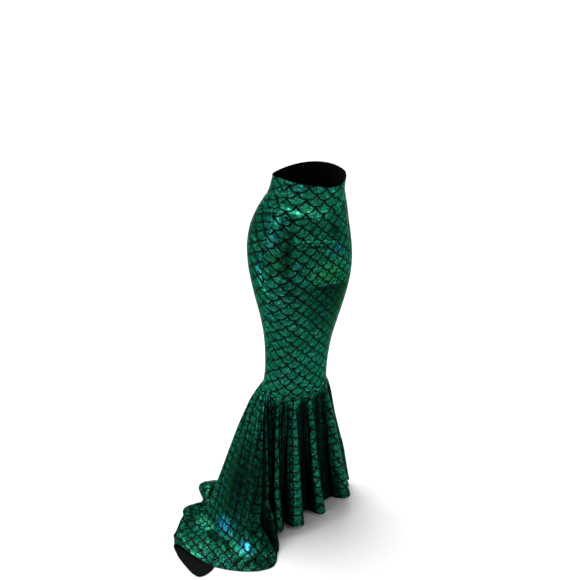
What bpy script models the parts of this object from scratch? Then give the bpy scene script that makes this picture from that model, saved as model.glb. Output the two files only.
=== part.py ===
"""Mermaid skirt: waistband, fitted body panels and a fishtail flounce with a swept train.

Metres. The origin is the centre of the waist opening and +Z is up. The front of
the skirt faces -Y and the wearer's left is +X. Angles run in degrees round the
body from the front (0) over the wearer's right (90) to the back (180).
Levels run down the skirt: 0 waist edge, 1 waistband seam, 2 knee seam, 3 hem.
"""

import math

import bmesh
import bpy
import numpy as np

NAME = "mermaid_fishtail_skirt"
UP = np.array((0.0, 0.0, 1.0))
LEVEL_PLANE = np.array((1.0, 1.0, 0.0))
WALL = 0.0015
SEAM_GAP = 0.0003
FLOOR = -1.090

# The waist edge dips at the front, and both cross seams dip at the front and sides.
WAIST_DIP = 0.004
WAIST_LIFTS = ((72.0, 95.0, 0.024), (-28.0, 48.0, -0.009))
BAND_SEAM, BAND_SIDE_DIP, BAND_FRONT_DIP = -0.080, 0.006, 0.002
KNEE_SEAM, KNEE_FRONT_DIP = -0.650, 0.005

# Sections of the fitted part: superellipses of this power, a row per level.
# drop, half width, front depth, back depth, centre y
ROUNDNESS = 2.25
BODY = (
    (0.00, 0.0980, 0.0770, 0.0770, 0.0000),
    (0.05, 0.1030, 0.0820, 0.0820, 0.0140),
    (0.10, 0.1207, 0.0917, 0.1014, 0.0269),
    (0.15, 0.1337, 0.0963, 0.1177, 0.0339),
    (0.20, 0.1427, 0.0999, 0.1227, 0.0348),
    (0.25, 0.1460, 0.1007, 0.1168, 0.0318),
    (0.30, 0.1423, 0.0968, 0.1067, 0.0285),
    (0.35, 0.1327, 0.0902, 0.0955, 0.0282),
    (0.40, 0.1205, 0.0819, 0.0844, 0.0305),
    (0.45, 0.1090, 0.0741, 0.0763, 0.0354),
    (0.50, 0.1000, 0.0680, 0.0700, 0.0421),
    (0.55, 0.0950, 0.0646, 0.0665, 0.0480),
    (0.60, 0.0925, 0.0635, 0.0664, 0.0530),
    (0.64, 0.0940, 0.0650, 0.0710, 0.0570),
    (0.68, 0.1010, 0.0710, 0.0780, 0.0590),
)

# The side seams, mirrored on the wearer's left.
# level, angle from the front
SIDE_SEAM = (
    (0.0, 77.0),
    (1.0, 75.0),
    (1.35, 79.0),
    (1.7, 88.0),
    (2.0, 95.0),
    (3.0, 95.0),
)

# Soft troughs pressed into the fitted part: between the thighs, under the
# belly and under the seat.
# angle, drop, half width, half height, depth as a share of the half width there
TROUGHS = (
    (12.0, 0.45, 22.0, 0.190, 0.090),
    (14.0, 0.285, 60.0, 0.030, 0.030),
    (192.0, 0.33, 26.0, 0.120, 0.070),
)

# The flounce, a row per station round the hem, between its folds.
# angle, touch point x, y, height, hem x, y, height, rise between the two
STATIONS = (
    (-95.0, 0.148, 0.072, 0.160, 0.172, 0.082, 0.014, 0.000),
    (-75.0, 0.136, 0.036, 0.160, 0.158, 0.042, 0.022, 0.000),
    (-56.0, 0.110, 0.012, 0.160, 0.134, 0.014, 0.028, 0.000),
    (-40.0, 0.090, -0.002, 0.160, 0.112, -0.004, 0.030, 0.000),
    (-20.0, 0.046, -0.004, 0.160, 0.060, -0.004, 0.030, 0.000),
    (-2.0, 0.006, -0.010, 0.160, 0.012, -0.012, 0.030, 0.000),
    (14.0, -0.030, -0.004, 0.160, -0.030, -0.004, 0.030, 0.000),
    (30.0, -0.064, -0.008, 0.160, -0.072, -0.012, 0.030, 0.000),
    (45.0, -0.090, 0.002, 0.160, -0.100, -0.002, 0.028, 0.000),
    (58.0, -0.110, 0.004, 0.160, -0.120, -0.014, 0.022, 0.000),
    (72.0, -0.124, 0.014, 0.155, -0.136, 0.000, 0.018, 0.000),
    (84.0, -0.140, 0.010, 0.140, -0.150, -0.024, 0.010, 0.000),
    (95.0, -0.164, 0.000, 0.120, -0.164, -0.062, 0.003, 0.000),
    (102.0, -0.188, -0.018, 0.090, -0.186, -0.096, 0.001, -0.006),
    (110.0, -0.214, -0.030, 0.060, -0.220, -0.120, 0.001, -0.008),
    (120.0, -0.240, -0.012, 0.036, -0.285, -0.093, 0.001, -0.002),
    (130.0, -0.256, 0.036, 0.022, -0.346, -0.022, 0.002, 0.006),
    (138.0, -0.260, 0.074, 0.018, -0.372, 0.044, 0.010, 0.009),
    (144.0, -0.260, 0.102, 0.018, -0.382, 0.104, 0.015, 0.008),
    (148.0, -0.258, 0.120, 0.020, -0.392, 0.116, 0.006, 0.006),
    (152.0, -0.256, 0.136, 0.020, -0.408, 0.050, 0.003, 0.006),
    (156.0, -0.252, 0.152, 0.020, -0.406, -0.026, 0.003, 0.006),
    (160.0, -0.246, 0.166, 0.020, -0.348, -0.020, 0.002, 0.006),
    (165.0, -0.236, 0.180, 0.018, -0.306, 0.076, 0.002, 0.006),
    (170.0, -0.224, 0.192, 0.016, -0.272, 0.168, 0.002, 0.006),
    (175.0, -0.210, 0.200, 0.014, -0.236, 0.228, 0.002, 0.004),
    (181.0, -0.190, 0.206, 0.014, -0.202, 0.244, 0.003, 0.002),
    (188.0, -0.166, 0.214, 0.014, -0.186, 0.286, 0.012, 0.012),
    (196.0, -0.132, 0.222, 0.014, -0.144, 0.302, 0.008, 0.012),
    (204.0, -0.090, 0.226, 0.014, -0.096, 0.288, 0.003, 0.004),
    (213.0, -0.040, 0.226, 0.014, -0.038, 0.304, 0.008, 0.010),
    (223.0, 0.014, 0.214, 0.014, 0.026, 0.286, 0.003, 0.004),
    (234.0, 0.070, 0.186, 0.020, 0.090, 0.250, 0.006, 0.006),
    (245.0, 0.110, 0.148, 0.044, 0.136, 0.194, 0.003, 0.000),
    (255.0, 0.136, 0.112, 0.100, 0.160, 0.138, 0.006, 0.002),
    (265.0, 0.148, 0.072, 0.160, 0.172, 0.082, 0.014, 0.000),
)

# Where the train rolls under itself, a row per station.
# angle, share rolled, outermost x, y, height, half height of the roll
ROLL = (
    (138.0, 0.0, -0.330, 0.064, 0.014, 0.0),
    (144.0, 0.6, -0.364, 0.128, 0.014, 0.003),
    (148.0, 1.0, -0.368, 0.150, 0.010, 0.006),
    (152.0, 1.0, -0.349, 0.166, 0.010, 0.006),
    (156.0, 1.0, -0.331, 0.181, 0.010, 0.006),
    (160.0, 1.0, -0.314, 0.197, 0.010, 0.006),
    (165.0, 1.0, -0.293, 0.216, 0.010, 0.006),
    (170.0, 1.0, -0.274, 0.238, 0.010, 0.006),
    (175.0, 0.7, -0.246, 0.244, 0.012, 0.003),
    (181.0, 0.0, -0.200, 0.230, 0.006, 0.0),
)
ROLL_DEPTH = 0.010

# Shares of the way down the flounce: the point where it turns to lie on the
# floor, then the near side, crest and far side of the roll.
TOUCH, NEAR, CREST, FAR = 0.66, 0.80, 0.85, 0.90

# How the flounce leaves the knee: share of the drop, share of the spread.
FLARE = (
    (0.00, 0.00),
    (0.05, 0.11),
    (0.12, 0.22),
    (0.27, 0.37),
    (0.51, 0.57),
    (0.74, 0.75),
    (0.90, 0.89),
    (1.00, 1.00),
)

# Folds standing out of the flounce, a row per fold. They start just below the
# knee seam and stand out by the given amounts at the last three shares.
# angle at the knee, angle at the hem, half width, stand-out at 1/3, at 2/3, at the hem
FOLD_SHARES = (0.0, 0.04, 0.33, 0.67, 1.0)
FOLDS = (
    (-82.0, -84.0, 11.0, 0.010, 0.022, 0.030),
    (-60.0, -63.0, 9.5, 0.008, 0.020, 0.028),
    (-38.0, -41.0, 12.0, 0.019, 0.034, 0.040),
    (-18.0, -17.0, 6.0, 0.005, 0.004, 0.000),
    (2.0, -4.0, 10.5, 0.019, 0.034, 0.042),
    (31.0, 29.0, 13.0, 0.019, 0.036, 0.048),
    (48.0, 46.0, 5.0, 0.006, 0.004, 0.000),
    (60.0, 59.0, 8.5, 0.012, 0.021, 0.024),
    (76.0, 74.0, 5.5, 0.004, 0.003, 0.000),
    (92.0, 92.0, 10.0, 0.009, 0.017, 0.012),
    (116.0, 114.0, 10.0, 0.005, 0.005, 0.000),
    (138.0, 132.0, 12.0, 0.006, 0.008, 0.000),
    (162.0, 158.0, 11.0, 0.008, 0.008, 0.000),
    (186.0, 189.0, 12.0, 0.012, 0.014, 0.006),
    (210.0, 212.0, 12.0, 0.014, 0.016, 0.006),
    (234.0, 233.0, 12.0, 0.014, 0.014, 0.006),
    (256.0, 256.0, 10.0, 0.012, 0.022, 0.018),
)

# Steps, in degrees and levels, over which directions on the cloth are read:
# wide ones for the flounce that carries the folds, fine ones for the finished surface.
CARRIER_STEP = (2.0, 0.14)
SURFACE_STEP = (0.8, 0.01)

# Rows and columns of faces in each cut piece.
BAND_COLUMNS, BAND_LEVELS = 20, (0.0, 0.34, 0.67, 1.0)
PANEL_COLUMNS, PANEL_ROWS = 20, 16
FLOUNCE_COLUMNS = {"front": 56, "back": 84}
STEEP_SHARES = (0.0, 0.03, 0.08, 0.15, 0.24, 0.35, 0.46, 0.56, TOUCH)
LYING_SHARES = (0.73, NEAR, 0.825, CREST, 0.875, FAR, 0.95, 1.0)

# The level each flounce piece is measured along to place its columns, and the
# weight of sharp turns and of even spacing against that of length.
COLUMN_LEVEL = {"front": 2.8, "back": 2.93}
TURN_WEIGHT, EVEN_WEIGHT = 1.3, 0.5
FINE_POINTS = 1201

CLOTH_COLOUR = (0.03, 0.30, 0.22, 1.0)
CLOTH_METALLIC = 0.4
CLOTH_ROUGHNESS = 0.35


def hermite(t, here, there, leave, arrive):
    """Cubic from here to there as t runs 0 to 1, with given slopes at both ends."""
    keep = (1 + 2 * t) * (1 - t) ** 2
    gain = t * t * (3 - 2 * t)
    return keep * here + gain * there + t * (1 - t) ** 2 * leave + t * t * (t - 1) * arrive


def smooth(xs, ys, x):
    """Value at x of the smooth curve that passes through the points (xs, ys)."""
    xs = np.asarray(xs, float)
    ys = np.asarray(ys, float)
    slopes = np.gradient(ys, xs, axis=0)
    x = np.clip(np.asarray(x, float), xs[0], xs[-1])
    i = np.clip(np.searchsorted(xs, x, side="right") - 1, 0, len(xs) - 2)
    span = xs[i + 1] - xs[i]
    t = (x - xs[i]) / span
    if ys.ndim > 1:
        t = t[..., None]
        span = span[..., None]
    return hermite(t, ys[i], ys[i + 1], slopes[i] * span, slopes[i + 1] * span)


def around(table, angle):
    """Rows of a table that closes on itself after a full turn, at any angle."""
    rows = np.array(table[:-1])
    full_turn = np.r_[360.0, np.zeros(rows.shape[1] - 1)]
    rows = np.concatenate([rows - full_turn, rows, rows + full_turn])
    return smooth(rows[:, 0], rows[:, 1:], angle)


def unit(vectors):
    return vectors / np.linalg.norm(vectors, axis=-1, keepdims=True)


def bump(distance):
    """Round ridge of height 1 that is level with its surroundings at distance 1."""
    return np.where(np.abs(distance) < 1, np.cos(distance * math.pi / 2) ** 2, 0.0)


def apart(angle, centre):
    """Signed difference of two angles, by the shorter way round."""
    return (angle - centre + 180.0) % 360.0 - 180.0


def waist_lift(angle):
    """How far the waist edge is pulled up on the wearer's right and down left of the front."""
    return sum(height * bump(apart(angle, middle) / reach) for middle, reach, height in WAIST_LIFTS)


def waist_edge(angle):
    return waist_lift(angle) - WAIST_DIP * (1 + np.cos(np.radians(angle)))


def band_seam(angle):
    turn = np.radians(angle)
    return BAND_SEAM - BAND_SIDE_DIP * np.cos(2 * turn) - BAND_FRONT_DIP * np.cos(turn)


def knee_seam(angle):
    return KNEE_SEAM - KNEE_FRONT_DIP * np.cos(np.radians(angle))


def fitted(angle, z):
    """Point of the fitted part at an angle and height."""
    body = np.array(BODY)
    half, front, back, centre = np.moveaxis(smooth(body[:, 0], body[:, 1:], -z), -1, 0)
    across = -np.sin(np.radians(angle))
    along = -np.cos(np.radians(angle))
    swell = np.abs(across) ** ROUNDNESS + np.abs(along) ** ROUNDNESS
    reach = swell ** (-1 / ROUNDNESS)
    depth = np.where(along < 0, front, back)
    for centre_angle, drop, wide, tall, deep in TROUGHS:
        trough = bump(apart(angle, centre_angle) / wide) * bump((-z - drop) / tall)
        reach = reach - deep * trough
    return np.stack([half * reach * across, centre + depth * reach * along, z], axis=-1)


def fold_out(angle, down):
    """How far the folds stand out of the flounce; down runs 0 at the knee to 1 at the hem."""
    total = np.zeros(np.broadcast(angle, down).shape)
    for knee, hem, wide, third, two_thirds, full in FOLDS:
        height = smooth(FOLD_SHARES, (0.0, 0.0, third, two_thirds, full), down)
        middle = knee + (hem - knee) * down
        total = total + height * bump(apart(angle, middle) / wide)
    return total


def fall_line(angle):
    """Levels and points that the flounce passes through from the knee to the hem at each angle."""
    top = fitted(angle, knee_seam(angle))
    station = around(STATIONS, angle)
    touch = station[..., 0:3] + (0, 0, FLOOR)
    hem = station[..., 3:6] + (0, 0, FLOOR)
    rise = station[..., 6:7]
    levels = [share * TOUCH for share, _ in FLARE]
    points = [top + (touch - top) * (spread, spread, share) for share, spread in FLARE]
    table = np.array(ROLL)
    roll = smooth(table[:, 0], table[:, 1:], angle)
    rolled = roll[..., 0:1]
    crest = roll[..., 1:4] + (0, 0, FLOOR)
    lift = roll[..., 4:5] * UP
    for level, anchor, raised in ((NEAR, touch, lift), (CREST, None, 0), (FAR, hem, -lift)):
        share = (level - TOUCH) / (1 - TOUCH)
        lying = touch + (hem - touch) * share + rise * math.sin(math.pi * share) * UP
        turned = crest + raised
        if anchor is not None:
            turned = turned + unit((anchor - crest) * LEVEL_PLANE) * ROLL_DEPTH
        points.append(lying + (turned - lying) * rolled)
        levels.append(level)
    return np.array(levels + [1.0]), np.stack(points + [hem])


def flounce(angle, down):
    """Point of the flounce; down runs 0 at the knee seam to 1 at the hem."""
    levels, points = fall_line(angle)
    slopes = np.gradient(points, levels, axis=0)
    i = np.clip(np.searchsorted(levels, down, side="right") - 1, 0, len(levels) - 2)
    span = (levels[i + 1] - levels[i])[..., None]
    t = (down - levels[i])[..., None] / span
    spot = tuple(np.indices(i.shape))
    here, there = points[(i, *spot)], points[(i + 1, *spot)]
    leave, arrive = slopes[(i, *spot)] * span, slopes[(i + 1, *spot)] * span
    return hermite(t, here, there, leave, arrive)


def direction_out(surface, angle, level, steps, low, high):
    """Outward direction of a surface, read over a step each way and between two end levels."""
    turn, drop = steps
    across = surface(angle + turn, level) - surface(angle - turn, level)
    lower = surface(angle, np.minimum(level + drop, high))
    upper = surface(angle, np.maximum(level - drop, low))
    return unit(np.cross(across, lower - upper))


def folded(angle, down):
    """The flounce with its folds standing out of it."""
    out = direction_out(flounce, angle, down, CARRIER_STEP, 0, 1)
    return flounce(angle, down) + out * fold_out(angle, down)[..., None]


def skirt(angle, level):
    """Point of the inside of the skirt at any angle and level."""
    angle, level = np.broadcast_arrays(angle, level)
    top, band, knee = waist_edge(angle), band_seam(angle), knee_seam(angle)
    z = np.where(level < 1, top + (band - top) * level, band + (knee - band) * (level - 1))
    above = fitted(angle, np.maximum(z, knee))
    below = folded(angle, np.clip(level - 2, 0, 1))
    return np.where(level[..., None] <= 2, above, below)


def seam_angle(level):
    table = np.array(SIDE_SEAM)
    return smooth(table[:, 0], table[:, 1], level)


def cut_piece(name, columns, levels, side):
    """A cut piece of cloth: a slab whose edges stand half a gap back from each seam."""
    share, level = np.meshgrid(columns, levels, indexing="ij")
    seam = seam_angle(level)
    first, last = (-seam, seam) if side == "front" else (seam, 360 - seam)
    angle = first + (last - first) * share
    inner = skirt(angle, level)
    for line, inward in ((0, 1), (-1, -2)):
        inner[line] += unit(inner[inward] - inner[line]) * SEAM_GAP / 2
        inner[:, line] += unit(inner[:, inward] - inner[:, line]) * SEAM_GAP / 2
    outer = inner + direction_out(skirt, angle, level, SURFACE_STEP, 0, 3) * WALL
    return slab(name, inner, outer)


def slab(name, inner, outer):
    """Closed solid between two grids of points."""
    rows, cols = inner.shape[:2]
    mesh = bmesh.new()
    bmesh.ops.create_grid(mesh, x_segments=rows - 1, y_segments=cols - 1, size=0.5)
    for vert in mesh.verts:
        vert.co.x = round((vert.co.x + 0.5) * (rows - 1))
        vert.co.y = round((vert.co.y + 0.5) * (cols - 1))
        vert.co.z = 0
    raised = bmesh.ops.extrude_face_region(mesh, geom=mesh.faces[:], use_keep_orig=True)
    for item in raised["geom"]:
        if isinstance(item, bmesh.types.BMVert):
            item.co.z = 1
    bmesh.ops.triangulate(mesh, faces=mesh.faces[:])
    for vert in mesh.verts:
        i, j = round(vert.co.x), round(vert.co.y)
        vert.co = (outer if vert.co.z > 0.5 else inner)[i, j]
    bmesh.ops.recalc_face_normals(mesh, faces=mesh.faces[:])
    if mesh.calc_volume(signed=True) < 0:
        bmesh.ops.reverse_faces(mesh, faces=mesh.faces[:])
    data = bpy.data.meshes.new(name)
    mesh.to_mesh(data)
    mesh.free()
    return bpy.data.objects.new(name, data)


def flounce_columns(side):
    """Shares from 0 to 1 that crowd where the cloth turns sharply round the train."""
    seam = SIDE_SEAM[-1][1]
    first, last = (-seam, seam) if side == "front" else (seam, 360 - seam)
    fine = np.linspace(first, last, FINE_POINTS)
    path = skirt(fine, COLUMN_LEVEL[side])
    steps = np.diff(path, axis=0)
    length = np.linalg.norm(steps, axis=1)
    turn = np.linalg.norm(np.diff(unit(steps), axis=0), axis=1)
    weight = length / length.sum() + TURN_WEIGHT * np.r_[turn, 0] / turn.sum() + EVEN_WEIGHT / len(length)
    total = np.r_[0, np.cumsum(weight)] / weight.sum()
    even = np.linspace(0, 1, FLOUNCE_COLUMNS[side] + 1)
    return np.interp(even, total, np.linspace(0, 1, FINE_POINTS))


def fabric():
    material = bpy.data.materials.new("foil_scale_spandex")
    material.use_nodes = True
    shader = material.node_tree.nodes["Principled BSDF"]
    shader.inputs["Base Color"].default_value = CLOTH_COLOUR
    shader.inputs["Metallic"].default_value = CLOTH_METALLIC
    shader.inputs["Roughness"].default_value = CLOTH_ROUGHNESS
    return material


def waistband(side):
    return cut_piece("waistband_" + side, np.linspace(0, 1, BAND_COLUMNS + 1), BAND_LEVELS, side)


def panel(side):
    levels = np.linspace(1.0, 2.0, PANEL_ROWS + 1)
    return cut_piece("panel_" + side, np.linspace(0, 1, PANEL_COLUMNS + 1), levels, side)


def fishtail(side):
    levels = 2 + np.array(STEEP_SHARES + LYING_SHARES)
    return cut_piece("flounce_" + side, flounce_columns(side), levels, side)


def build():
    for thing in list(bpy.data.objects):
        bpy.data.objects.remove(thing)
    collection = bpy.data.collections.new(NAME)
    bpy.context.scene.collection.children.link(collection)
    cloth = fabric()
    for make in (waistband, panel, fishtail):
        for side in ("front", "back"):
            piece = make(side)
            piece.data.materials.append(cloth)
            collection.objects.link(piece)


build()
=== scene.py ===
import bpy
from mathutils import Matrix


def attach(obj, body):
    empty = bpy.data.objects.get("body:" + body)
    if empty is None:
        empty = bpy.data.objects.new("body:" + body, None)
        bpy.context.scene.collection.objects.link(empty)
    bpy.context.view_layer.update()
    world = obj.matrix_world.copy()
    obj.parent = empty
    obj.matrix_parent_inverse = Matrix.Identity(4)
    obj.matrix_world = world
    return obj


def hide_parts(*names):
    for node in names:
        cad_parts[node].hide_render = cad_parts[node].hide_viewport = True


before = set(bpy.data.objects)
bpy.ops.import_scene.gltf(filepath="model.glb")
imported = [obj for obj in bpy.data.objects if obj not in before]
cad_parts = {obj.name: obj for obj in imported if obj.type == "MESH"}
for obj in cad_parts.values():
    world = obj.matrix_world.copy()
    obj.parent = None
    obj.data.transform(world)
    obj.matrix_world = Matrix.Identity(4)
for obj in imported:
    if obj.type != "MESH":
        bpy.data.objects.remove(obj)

"""Looks of a mermaid fishtail skirt in foil stretch jersey with a fish scale print.

Metres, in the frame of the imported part. Angles run in degrees round the body from the
front (0) over the wearer's right (90) to the back (180). Levels run down the skirt:
0 waist edge, 1 waistband seam, 2 knee seam, 3 hem.
"""

import math

import bpy
import numpy as np
from mathutils import Vector, noise

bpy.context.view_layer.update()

# ---------------------------------------------------------------- sizes of the skirt

WALL = 0.0015
CLOTH = 0.0007
FLOOR = -1.090
WAIST_DIP = 0.004
WAIST_LIFTS = ((72.0, 95.0, 0.024), (-28.0, 48.0, -0.009))
BAND_SEAM, BAND_SIDE_DIP, BAND_FRONT_DIP = -0.080, 0.006, 0.002
KNEE_SEAM, KNEE_FRONT_DIP = -0.650, 0.005
UP = np.array((0.0, 0.0, 1.0))
LEVEL_PLANE = np.array((1.0, 1.0, 0.0))

# Sections of the fitted part: superellipses of this power, a row per level.
# drop, half width, front depth, back depth, centre y
ROUNDNESS = 2.25
BODY = (
    (0.00, 0.0980, 0.0770, 0.0770, 0.0000),
    (0.05, 0.1030, 0.0820, 0.0820, 0.0140),
    (0.10, 0.1207, 0.0917, 0.1014, 0.0269),
    (0.15, 0.1337, 0.0963, 0.1177, 0.0339),
    (0.20, 0.1427, 0.0999, 0.1227, 0.0348),
    (0.25, 0.1460, 0.1007, 0.1168, 0.0318),
    (0.30, 0.1423, 0.0968, 0.1067, 0.0285),
    (0.35, 0.1327, 0.0902, 0.0955, 0.0282),
    (0.40, 0.1205, 0.0819, 0.0844, 0.0305),
    (0.45, 0.1090, 0.0741, 0.0763, 0.0354),
    (0.50, 0.1000, 0.0680, 0.0700, 0.0421),
    (0.55, 0.0950, 0.0646, 0.0665, 0.0480),
    (0.60, 0.0925, 0.0635, 0.0664, 0.0530),
    (0.64, 0.0940, 0.0650, 0.0710, 0.0570),
    (0.68, 0.1010, 0.0710, 0.0780, 0.0590),
)

# level, angle of the side seam from the front
SIDE_SEAM = ((0.0, 77.0), (1.0, 75.0), (1.35, 79.0), (1.7, 88.0), (2.0, 95.0), (3.0, 95.0))

# Soft troughs of the fitted part.
# angle, drop, half width, half height, depth as a share of the half width there
TROUGHS = (
    (12.0, 0.45, 22.0, 0.190, 0.090),
    (14.0, 0.285, 60.0, 0.030, 0.030),
    (192.0, 0.33, 26.0, 0.120, 0.070),
)

# The flounce, a row per station round the hem, between its folds.
# angle, touch point x, y, height, hem x, y, height, rise between the two
STATIONS = (
    (-95.0, 0.148, 0.072, 0.160, 0.172, 0.082, 0.014, 0.000),
    (-75.0, 0.136, 0.036, 0.160, 0.158, 0.042, 0.022, 0.000),
    (-56.0, 0.110, 0.012, 0.160, 0.134, 0.014, 0.028, 0.000),
    (-40.0, 0.090, -0.002, 0.160, 0.112, -0.004, 0.030, 0.000),
    (-20.0, 0.046, -0.004, 0.160, 0.060, -0.004, 0.030, 0.000),
    (-2.0, 0.006, -0.010, 0.160, 0.012, -0.012, 0.030, 0.000),
    (14.0, -0.030, -0.004, 0.160, -0.030, -0.004, 0.030, 0.000),
    (30.0, -0.064, -0.008, 0.160, -0.072, -0.012, 0.030, 0.000),
    (45.0, -0.090, 0.002, 0.160, -0.100, -0.002, 0.028, 0.000),
    (58.0, -0.110, 0.004, 0.160, -0.120, -0.014, 0.022, 0.000),
    (72.0, -0.124, 0.014, 0.155, -0.136, 0.000, 0.018, 0.000),
    (84.0, -0.140, 0.010, 0.140, -0.150, -0.024, 0.010, 0.000),
    (95.0, -0.164, 0.000, 0.120, -0.164, -0.062, 0.003, 0.000),
    (102.0, -0.188, -0.018, 0.090, -0.186, -0.096, 0.001, -0.006),
    (110.0, -0.214, -0.030, 0.060, -0.220, -0.120, 0.001, -0.008),
    (120.0, -0.240, -0.012, 0.036, -0.285, -0.093, 0.001, -0.002),
    (130.0, -0.256, 0.036, 0.022, -0.346, -0.022, 0.002, 0.006),
    (138.0, -0.260, 0.074, 0.018, -0.372, 0.044, 0.010, 0.009),
    (144.0, -0.260, 0.102, 0.018, -0.382, 0.104, 0.015, 0.008),
    (148.0, -0.258, 0.120, 0.020, -0.392, 0.116, 0.006, 0.006),
    (152.0, -0.256, 0.136, 0.020, -0.408, 0.050, 0.003, 0.006),
    (156.0, -0.252, 0.152, 0.020, -0.406, -0.026, 0.003, 0.006),
    (160.0, -0.246, 0.166, 0.020, -0.348, -0.020, 0.002, 0.006),
    (165.0, -0.236, 0.180, 0.018, -0.306, 0.076, 0.002, 0.006),
    (170.0, -0.224, 0.192, 0.016, -0.272, 0.168, 0.002, 0.006),
    (175.0, -0.210, 0.200, 0.014, -0.236, 0.228, 0.002, 0.004),
    (181.0, -0.190, 0.206, 0.014, -0.202, 0.244, 0.003, 0.002),
    (188.0, -0.166, 0.214, 0.014, -0.186, 0.286, 0.012, 0.012),
    (196.0, -0.132, 0.222, 0.014, -0.144, 0.302, 0.008, 0.012),
    (204.0, -0.090, 0.226, 0.014, -0.096, 0.288, 0.003, 0.004),
    (213.0, -0.040, 0.226, 0.014, -0.038, 0.304, 0.008, 0.010),
    (223.0, 0.014, 0.214, 0.014, 0.026, 0.286, 0.003, 0.004),
    (234.0, 0.070, 0.186, 0.020, 0.090, 0.250, 0.006, 0.006),
    (245.0, 0.110, 0.148, 0.044, 0.136, 0.194, 0.003, 0.000),
    (255.0, 0.136, 0.112, 0.100, 0.160, 0.138, 0.006, 0.002),
    (265.0, 0.148, 0.072, 0.160, 0.172, 0.082, 0.014, 0.000),
)

# Where the train rolls under itself, a row per station.
# angle, share rolled, outermost x, y, height, half height of the roll
ROLL = (
    (138.0, 0.0, -0.330, 0.064, 0.014, 0.0),
    (144.0, 0.6, -0.364, 0.128, 0.014, 0.003),
    (148.0, 1.0, -0.368, 0.150, 0.010, 0.006),
    (152.0, 1.0, -0.349, 0.166, 0.010, 0.006),
    (156.0, 1.0, -0.331, 0.181, 0.010, 0.006),
    (160.0, 1.0, -0.314, 0.197, 0.010, 0.006),
    (165.0, 1.0, -0.293, 0.216, 0.010, 0.006),
    (170.0, 1.0, -0.274, 0.238, 0.010, 0.006),
    (175.0, 0.7, -0.246, 0.244, 0.012, 0.003),
    (181.0, 0.0, -0.200, 0.230, 0.006, 0.0),
)
ROLL_DEPTH = 0.010
TOUCH, NEAR, CREST, FAR = 0.66, 0.80, 0.85, 0.90

# How the flounce leaves the knee: share of the drop, share of the spread.
FLARE = (
    (0.00, 0.00),
    (0.05, 0.11),
    (0.12, 0.22),
    (0.27, 0.37),
    (0.51, 0.57),
    (0.74, 0.75),
    (0.90, 0.89),
    (1.00, 1.00),
)

# Folds of the flounce: angle at the knee, angle at the hem, half width, then
# how far the fold stands out at a third, at two thirds and at the hem.
FOLD_SHARES = (0.0, 0.04, 0.33, 0.67, 1.0)
FOLDS = (
    (-82.0, -84.0, 11.0, 0.010, 0.022, 0.030),
    (-60.0, -63.0, 9.5, 0.008, 0.020, 0.028),
    (-38.0, -41.0, 12.0, 0.019, 0.034, 0.040),
    (-18.0, -17.0, 6.0, 0.005, 0.004, 0.000),
    (2.0, -4.0, 10.5, 0.019, 0.034, 0.042),
    (31.0, 29.0, 13.0, 0.019, 0.036, 0.048),
    (48.0, 46.0, 5.0, 0.006, 0.004, 0.000),
    (60.0, 59.0, 8.5, 0.012, 0.021, 0.024),
    (76.0, 74.0, 5.5, 0.004, 0.003, 0.000),
    (92.0, 92.0, 10.0, 0.009, 0.017, 0.012),
    (116.0, 114.0, 10.0, 0.005, 0.005, 0.000),
    (138.0, 132.0, 12.0, 0.006, 0.008, 0.000),
    (162.0, 158.0, 11.0, 0.008, 0.008, 0.000),
    (186.0, 189.0, 12.0, 0.012, 0.014, 0.006),
    (210.0, 212.0, 12.0, 0.014, 0.016, 0.006),
    (234.0, 233.0, 12.0, 0.014, 0.014, 0.006),
    (256.0, 256.0, 10.0, 0.012, 0.022, 0.018),
)
CARRIER_STEP = (2.0, 0.14)
SURFACE_STEP = (0.8, 0.01)

# ------------------------------------------------------------ creases and fine folds

# Radius by which angles are turned into lengths round the fitted part.
BODY_RADIUS = 0.125

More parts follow.
